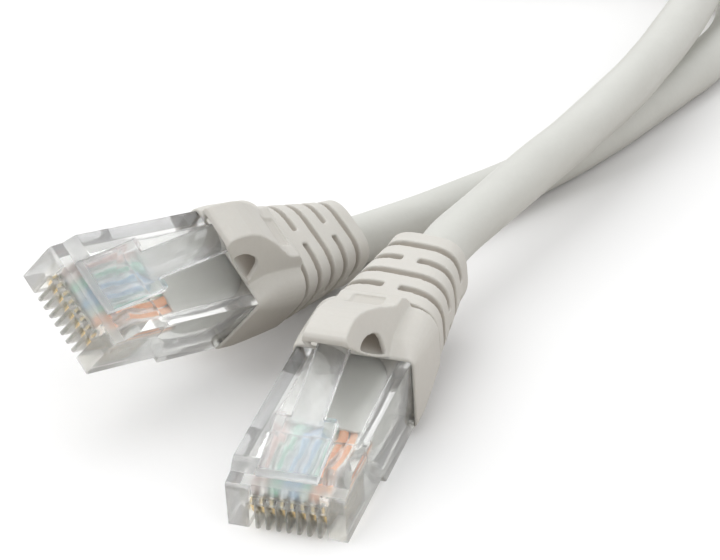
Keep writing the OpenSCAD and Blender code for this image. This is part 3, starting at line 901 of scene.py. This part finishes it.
def makeBoot(end):
    whole = cut(blockBody(), reliefBody(), hoodBody(), operation="UNION")
    plain = bvhOf(whole)
    cut(whole, *grooveCutters())
    floor = [(y, z - hood["padDepth"]) for y, z in hood["pad"]]
    pad = sideShape("pad", floor + [(floor[-1][0], 11.0), (floor[0][0], 12.0)], hood["padHalf"])
    pocket = bevelled(block("pocket", *boot["pocket"]), boot["pocketEdge"], 3, 40)
    bore = sweptTube("bore", [Vector((0, y, cable["axisHeight"])) for y in boot["bore"]], 40,
        lambda gone, angle: boot["boreRadius"])
    outwards(bore.data)
    cut(whole, hoodHollow(), hoodWindow(), pad, pocket, bore)
    cut(whole, block("rib", *hood["rib"]), operation="UNION")
    for vertex in whole.data.vertices:
        vertex.co.x, vertex.co.y = turnedAside(vertex.co.x, vertex.co.y, reliefTurn[end])
    remesh = whole.modifiers.new("oneSkin", "REMESH")
    remesh.mode = "VOXEL"
    remesh.voxel_size = boot["voxel"]
    soft = whole.modifiers.new("soft", "SMOOTH")
    soft.factor, soft.iterations = 0.5, boot["softening"]
    thinned = whole.modifiers.new("thinned", "DECIMATE")
    thinned.ratio = boot["kept"]
    settle(whole)
    markRecesses(whole, plain, end)
    whole.data.transform(plugPlace[end])
    whole.name = whole.data.name = "boot" + end.upper()
    shaded(whole)
    dressed(whole, rubber, "boot", None, "boot_" + end, "latch_guard_" + end)
    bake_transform(whole)
    return whole


for end in ends:
    makeBoot(end)
print("stage: boots")


# clear plug housings

plug = {
    "half": 5.84,
    "length": 22.3,
    "height": 6.3,
    "noseHeight": 4.95,
    "keel": 1.25,
    "keelAt": 10.8,
    "pitch": 1.016,
    "slotHalf": 0.28,
    "slotHeight": 2.9,
    "slotEnd": 6.95,
    "tip": 0.43,
    "wireHeight": 3.7,
    "wireRadius": 0.46,
    "cavityHalf": 4.4,
    "cavity": [(8, 3.19), (8, 4.7), (9.5, 5.0), (11.2, 5.4), (22.5, 5.4), (22.5, -0.18), (12, -0.18), (9.5, 2.3)],
    "corners": [0.5, 0.35, 0.25, 0.3, 0.3, 0.1, 0.1, 0.4, 0.2],
    "plate": [(-1, 3.9), (0.3, 3.9), (0.45, 6.0), (0.45, 7.3), (-1, 7.3)],
    "plateHalf": 3.4,
    "gripHalf": 0.19,
    "boreAt": (1.55, 5, 8.5),
    "outerEdge": 0.28,
    "fineEdge": 0.05,
    "looks": {
        # red, green, blue and frosting
        # painted shade on the side faces
        "side": (0.58, 0.58, 0.56, 0.0),
        # painted shade on the far top strip
        "shadedFarStrip": (0.30, 0.30, 0.305, 0.0),
        # painted reflection: the gold of the contacts seen in the ribs over them
        "comb": (0.92, 0.90, 0.84, 0.12),
        "nosePlate": (0.96, 0.975, 0.97, 0.9),
        "rest": (0.99, 0.99, 0.99, 0.0),
    },
}
latch = {
    "half": 3.0,
    "tabHalf": 1.6,
    "thickness": 0.72,
    "shoulder": 6.7,
    "length": 16.2,
    "pressed": 7.0,
    "room": 0.1,
    "wingFrom": 4.6,
    "wingInner": 1.95,
    "wingRise": 0.42,
    "frostedTo": 4.4,
    "looks": {"front": (0.96, 0.97, 0.97, 0.55), "rest": (0.97, 0.97, 0.98, 0.0)},
}


def contactX(i):
    return plug["pitch"] * (i - 4.5)


# A housing face's look: painted shade on the sides and far top strip, a painted gold reflection in the comb.
def housingLook(middle, normal):
    looks = plug["looks"]
    # painted shade: both side faces are tinted darker
    if abs(normal.x) > 0.85 and abs(middle.x) > 5.5:
        return looks["side"]
    # painted shade on the far top strip beyond the cavity
    if normal.z > 0.9 and middle.x < -plug["cavityHalf"] and middle.z > 5.0:
        return looks["shadedFarStrip"]
    # painted reflection of the gold contacts in the ribs over them
    if middle.y < 7.2 and middle.z < 2.95 and abs(middle.x) < plug["cavityHalf"]:
        return looks["comb"]
    if abs(middle.x) < plug["plateHalf"] + 0.05 and middle.y < 0.9 and middle.z > 2.95:
        return looks["nosePlate"]
    return looks["rest"]


# Parts the faces along a plane across x, so that what lies beyond it can have its own tint, the painted shade of the
# far strip.
def scored(item, x):
    work = bmesh.new()
    work.from_mesh(item.data)
    bmesh.ops.bisect_plane(work, geom=work.verts[:] + work.edges[:] + work.faces[:], dist=1e-5,
        plane_co=(x, 0, 0), plane_no=(1, 0, 0))
    work.to_mesh(item.data)
    work.free()
    return item


def makeHousing(end):
    outline = [(0, 0), (0, plug["noseHeight"]), (1.65, 5.25), (2.3, 6.0), (2.8, plug["height"]),
        (plug["length"], plug["height"]), (plug["length"], -plug["keel"]), (plug["keelAt"] + 0.7, -plug["keel"]),
        (plug["keelAt"], 0)]
    body = sideShape("housing", filleted(outline, plug["corners"], 3), plug["half"])
    bevelled(body, plug["outerEdge"], 3, 20)
    cut(body, sideShape("plate", plug["plate"], plug["plateHalf"]))
    slots, grips, bores = [], [], []
    for i in range(1, 9):
        x = contactX(i)
        half, tip, grip = plug["slotHalf"], plug["tip"], plug["gripHalf"]
        slots.append(topShape("slot", [(x - tip, -1), (x - tip, 0), (x - half, 0.4), (x - half, plug["slotEnd"]),
            (x + half, plug["slotEnd"]), (x + half, 0.4), (x + tip, 0), (x + tip, -1)], -1, plug["slotHeight"]))
        grips.append(block("grip", (x - grip, x + grip), (0.55, plug["slotEnd"]), (2.5, plug["wireHeight"])))
        bore = sweptTube("bore", [Vector((x, y, plug["wireHeight"])) for y in plug["boreAt"]], 16,
            lambda gone, angle: plug["wireRadius"] + 0.02)
        outwards(bore.data)
        bores.append(bore)
    for name, hollows in (("slots", slots), ("grips", grips), ("bores", bores)):
        cut(body, joined(name, hollows))
    cavity = bevelled(sideShape("cavity", plug["cavity"], plug["cavityHalf"]), 0.3, 2, 20)
    room = latch["room"]
    swept = latchPlace @ Matrix.Rotation(-math.radians(latch["pressed"]), 4, "X")
    seat = block("seat", (-latch["half"] - room, latch["half"] + room), (-0.3, 15), (-latch["thickness"] / 2 - room, 6))
    seat.data.transform(swept)
    cut(body, cavity, seat)
    bevelled(body, plug["fineEdge"], 2, 35, clamp=False)
    tinted(scored(body, -plug["cavityHalf"]), housingLook)
    body.data.transform(plugPlace[end])
    body.name = body.data.name = "plugHousing" + end.upper()
    body.visible_shadow = False
    shaded(body, 25)
    return dressed(body, clear, "clear_plastic", "cable_body", "plug_housing_" + end)


for end in ends:
    makeHousing(end)
print("stage: plug housings")


# spring latches

def latchLook(middle, _):
    front = middle.y < latch["frostedTo"] and abs(middle.x) < latch["half"] + 0.1
    return latch["looks"]["front" if front else "rest"]


def makeLatch(end):
    half = latch["thickness"] / 2
    shoulder, length = latch["shoulder"], latch["length"]
    plate = sideShape("latch", filleted([(-0.3, -0.2), (-0.3, 0.2), (0.3, half), (shoulder, half),
        (shoulder, -half), (0.3, -half)], [0.15, 0.15, 0.3, 0.05, 0.05, 0.3]), latch["half"])
    bevelled(plate, 0.08, 2, 40)
    tab = sideShape("tab", filleted([(shoulder - 2.2, -half + 0.02), (shoulder - 2.2, half - 0.02),
        (shoulder - 1.6, half + 0.03), (length - 0.5, half), (length, 0.1), (length, -half + 0.15),
        (length - 0.6, -half), (shoulder, -half - 0.01)], [0, 0, 0.4, 0.3, 0.2, 0.2, 0.3, 0.1]), latch["tabHalf"])
    bevelled(tab, 0.12, 2, 40)
    wings = [block("wing", tuple(sorted((side * latch["wingInner"], side * latch["half"]))),
        (latch["wingFrom"], shoulder + 0.02), (half - 0.3, half + latch["wingRise"])) for side in (-1, 1)]
    for wing in wings:
        # each wing rises from the plate towards the shoulder
        for vertex in wing.data.vertices:
            if vertex.co.y < latch["wingFrom"] + 0.4 and vertex.co.z > half:
                vertex.co.z = half + 0.02
        bevelled(wing, 0.07, 2, 40)
    cut(plate, tab, *wings, operation="UNION")
    tinted(plate, latchLook)
    plate.data.transform(plugPlace[end] @ latchPlace)
    plate.visible_shadow = False
    plate.name = plate.data.name = "latch" + end.upper()
    shaded(plate, 25)
    return dressed(plate, clear, "clear_plastic", "latch_" + end, "plug_latch_" + end)


for end in ends:
    makeLatch(end)
print("stage: latches")


# contacts, one row for each plug, by Geometry Nodes

contact = {
    "thickness": 0.34,
    "front": 0.6,
    "length": 6.3,
    "low": 0.55,
    "top": 3.16,
    "tines": 3,
    "tineAt": 2.1,
    "tinePitch": 1.7,
    "tineTop": 3.44,
}


def bladeShape():
    front, back = contact["front"], contact["front"] + contact["length"]
    low, top = contact["low"], contact["top"]
    outline = [(front + 0.30, top), (front + 0.2, 2.98), (front + 0.04, 2.84), (front, 2.6), (front + 0.12, 2.2),
        (front + 0.4, 1.5), (front + 0.8, low + 0.4), (front + 1.3, low), (back - 0.7, low), (back - 0.15, low + 0.35),
        (back, low + 0.9), (back, top)]
    blade = sideShape("blade", filleted(outline, 0.2, 3), contact["thickness"] / 2)
    for k in range(contact["tines"]):
        y, tip = contact["tineAt"] + contact["tinePitch"] * k, contact["tineTop"]
        tine = sideShape("tine", [(y, top - 0.2), (y, tip - 0.14), (y + 0.2, tip), (y + 0.4, tip - 0.14),
            (y + 0.4, top - 0.2)], contact["thickness"] / 2 - 0.01)
        cut(blade, tine, operation="UNION")
    return bevelled(blade, 0.05, 2, 40)


# Puts copies of an object in a row along x.
def rowTree(name):
    tree = bpy.data.node_groups.new(name, "GeometryNodeTree")
    face = tree.interface
    face.new_socket("Geometry", in_out="OUTPUT", socket_type="NodeSocketGeometry")
    for label, kind in (("Piece", "NodeSocketObject"), ("Count", "NodeSocketInt"), ("Pitch", "NodeSocketFloat"),
            ("Start", "NodeSocketFloat"), ("Material", "NodeSocketMaterial")):
        face.new_socket(label, in_out="INPUT", socket_type=kind)
    given = tree.nodes.new("NodeGroupInput").outputs
    start = addNode(tree, "ShaderNodeCombineXYZ", X=given["Start"])
    step = addNode(tree, "ShaderNodeCombineXYZ", X=given["Pitch"])
    places = addNode(tree, "GeometryNodeMeshLine", {"mode": "OFFSET"}, Count=given["Count"],
        **{"Start Location": start.outputs[0], "Offset": step.outputs[0]})
    piece = addNode(tree, "GeometryNodeObjectInfo", Object=given["Piece"])
    copies = addNode(tree, "GeometryNodeInstanceOnPoints", Points=places.outputs[0], Instance=piece.outputs["Geometry"])
    real = addNode(tree, "GeometryNodeRealizeInstances", i0=copies.outputs[0])
    painted = addNode(tree, "GeometryNodeSetMaterial", Geometry=real.outputs[0], Material=given["Material"])
    out = tree.nodes.new("NodeGroupOutput")
    tree.links.new(painted.outputs[0], out.inputs[0])
    return tree


# A new object made by a node tree, as a plain mesh.
def grown(name, tree, **values):
    item = newObject(name, bpy.data.meshes.new(name))
    modifier = item.modifiers.new(tree.name, "NODES")
    modifier.node_group = tree
    for socket in tree.interface.items_tree:
        if socket.item_type == "SOCKET" and socket.in_out == "INPUT" and socket.name in values:
            modifier[socket.identifier] = values[socket.name]
    return settle(item)


contactRow = rowTree("contactRow")
blade = bladeShape()
for end in ends:
    row = grown("contacts" + end.upper(), contactRow, Piece=blade, Count=8, Pitch=plug["pitch"], Start=contactX(1),
        Material=gold)
    row.data.transform(plugPlace[end])
    shaded(row, 35)
    dressed(row, gold, "gold_contact", "cable_body", *[f"contact_{end}{i}" for i in range(1, 9)])
bpy.data.objects.remove(blade)
print("stage: contacts")


# wires, their cores and the cable's end inside the plug

wires = {
    "radius": 0.455,
    "sides": 16,
    "start": 1.6,
    "leave": 9.0,
    "climb": 10.8,
    "spread": 13.4,
    "stop": 27.3,
    "rise": 0.4,
    "drop": 0.1,
    "narrowed": 0.88,
    "ring": 1.56,
    "step": 0.4,
}


# Flat in a row over the contacts, then one up and one down, then in a ring inside the jacket.
def wireLine(i):
    angle = math.radians(157.5 - 45 * ((i - 1) // 2))
    side = 1 if i % 2 else -1
    x, z = wires["ring"] * math.cos(angle), cable["axisHeight"] + side * wires["ring"] * math.sin(angle)
    height = plug["wireHeight"]
    points = [(contactX(i), wires["start"], height), (contactX(i), wires["leave"] - 2, height),
        (contactX(i), wires["leave"], height),
        (contactX(i) * wires["narrowed"], wires["climb"], height - wires["drop"] + side * wires["rise"]),
        (x, wires["spread"], z), (x, wires["spread"] + 3, z), (x, wires["stop"], z)]
    return smoothLine([Vector(p) for p in points], wires["step"])


for end in ends:
    for i, (name, _, _, slotName) in wireColours.items():
        wire = sweptTube(name + "Wire" + end.upper(), wireLine(i), wires["sides"], lambda gone, angle: wires["radius"])
        wire.data.transform(plugPlace[end])
        shaded(wire, 50)
        dressed(wire, insulated[i], slotName, "cable_body", f"wire_{end}{i}")
    cores = frame["nodes"]["copper_cores_" + end]
    cores.data.materials.clear()
    cores.data.materials.append(copper)
print("stage: wires and cores")


jacket = {
    "skin": 0.42,
    "sides": 48,
    "raggedTo": 11,
    "sections": [
        # y, half width, half height, height of the middle
        (10.0, 4.1, 1.05, 3.8),
        (10.3, 4.25, 1.3, 3.75),
        (11.4, 4.3, 1.8, 3.35),
        (13.0, 4.28, 2.3, 2.85),
        (15.0, 4.22, 2.5, 2.65),
        (18.0, 4.15, 2.55, 2.62),
        (20.2, 3.9, 2.6, 2.6),
        (21.4, 3.3, 2.66, 2.6),
        (22.4, 2.72, 2.68, 2.6),
        (24.0, 2.68, 2.68, 2.6),
        (28.2, 2.66, 2.66, 2.6),
    ],
}


def makeJacketEnd(end):
    rows = []
    # out along the outside, and back along the inside
    there = [(section, 0.0) for section in jacket["sections"]]
    back = [(section, jacket["skin"]) for section in reversed(jacket["sections"])]
    for (y, wide, high, middle), inset in there + back:
        row = []
        for s in range(jacket["sides"]):
            angle = 2 * math.pi * s / jacket["sides"]
            ragged = 0.25 * math.sin(angle * 2 + 1) + 0.10 * math.sin(angle * 7) if y < jacket["raggedTo"] else 0
            row.append(Vector(((wide - inset) * math.cos(angle), y + ragged,
                middle + (high - inset) * math.sin(angle))))
        rows.append(row)
    faces = bands(len(rows), jacket["sides"], backToFirst=True)
    piece = solid("jacketEnd" + end.upper(), [p for row in rows for p in row], faces)
    layer = piece.data.uv_layers.new(name="UVMap")
    for loop in piece.data.loops:
        p = piece.data.vertices[loop.vertex_index].co
        layer.data[loop.index].uv = ((math.atan2(p.z - cable["axisHeight"], p.x) / 2 / math.pi) % 1, p.y * mm)
    piece.data.transform(plugPlace[end])
    shaded(piece, 40)
    return dressed(piece, vinyl, "cable_jacket", "cable_body", "jacket_end_" + end)


for end in ends:
    makeJacketEnd(end)
print("stage: jacket ends")
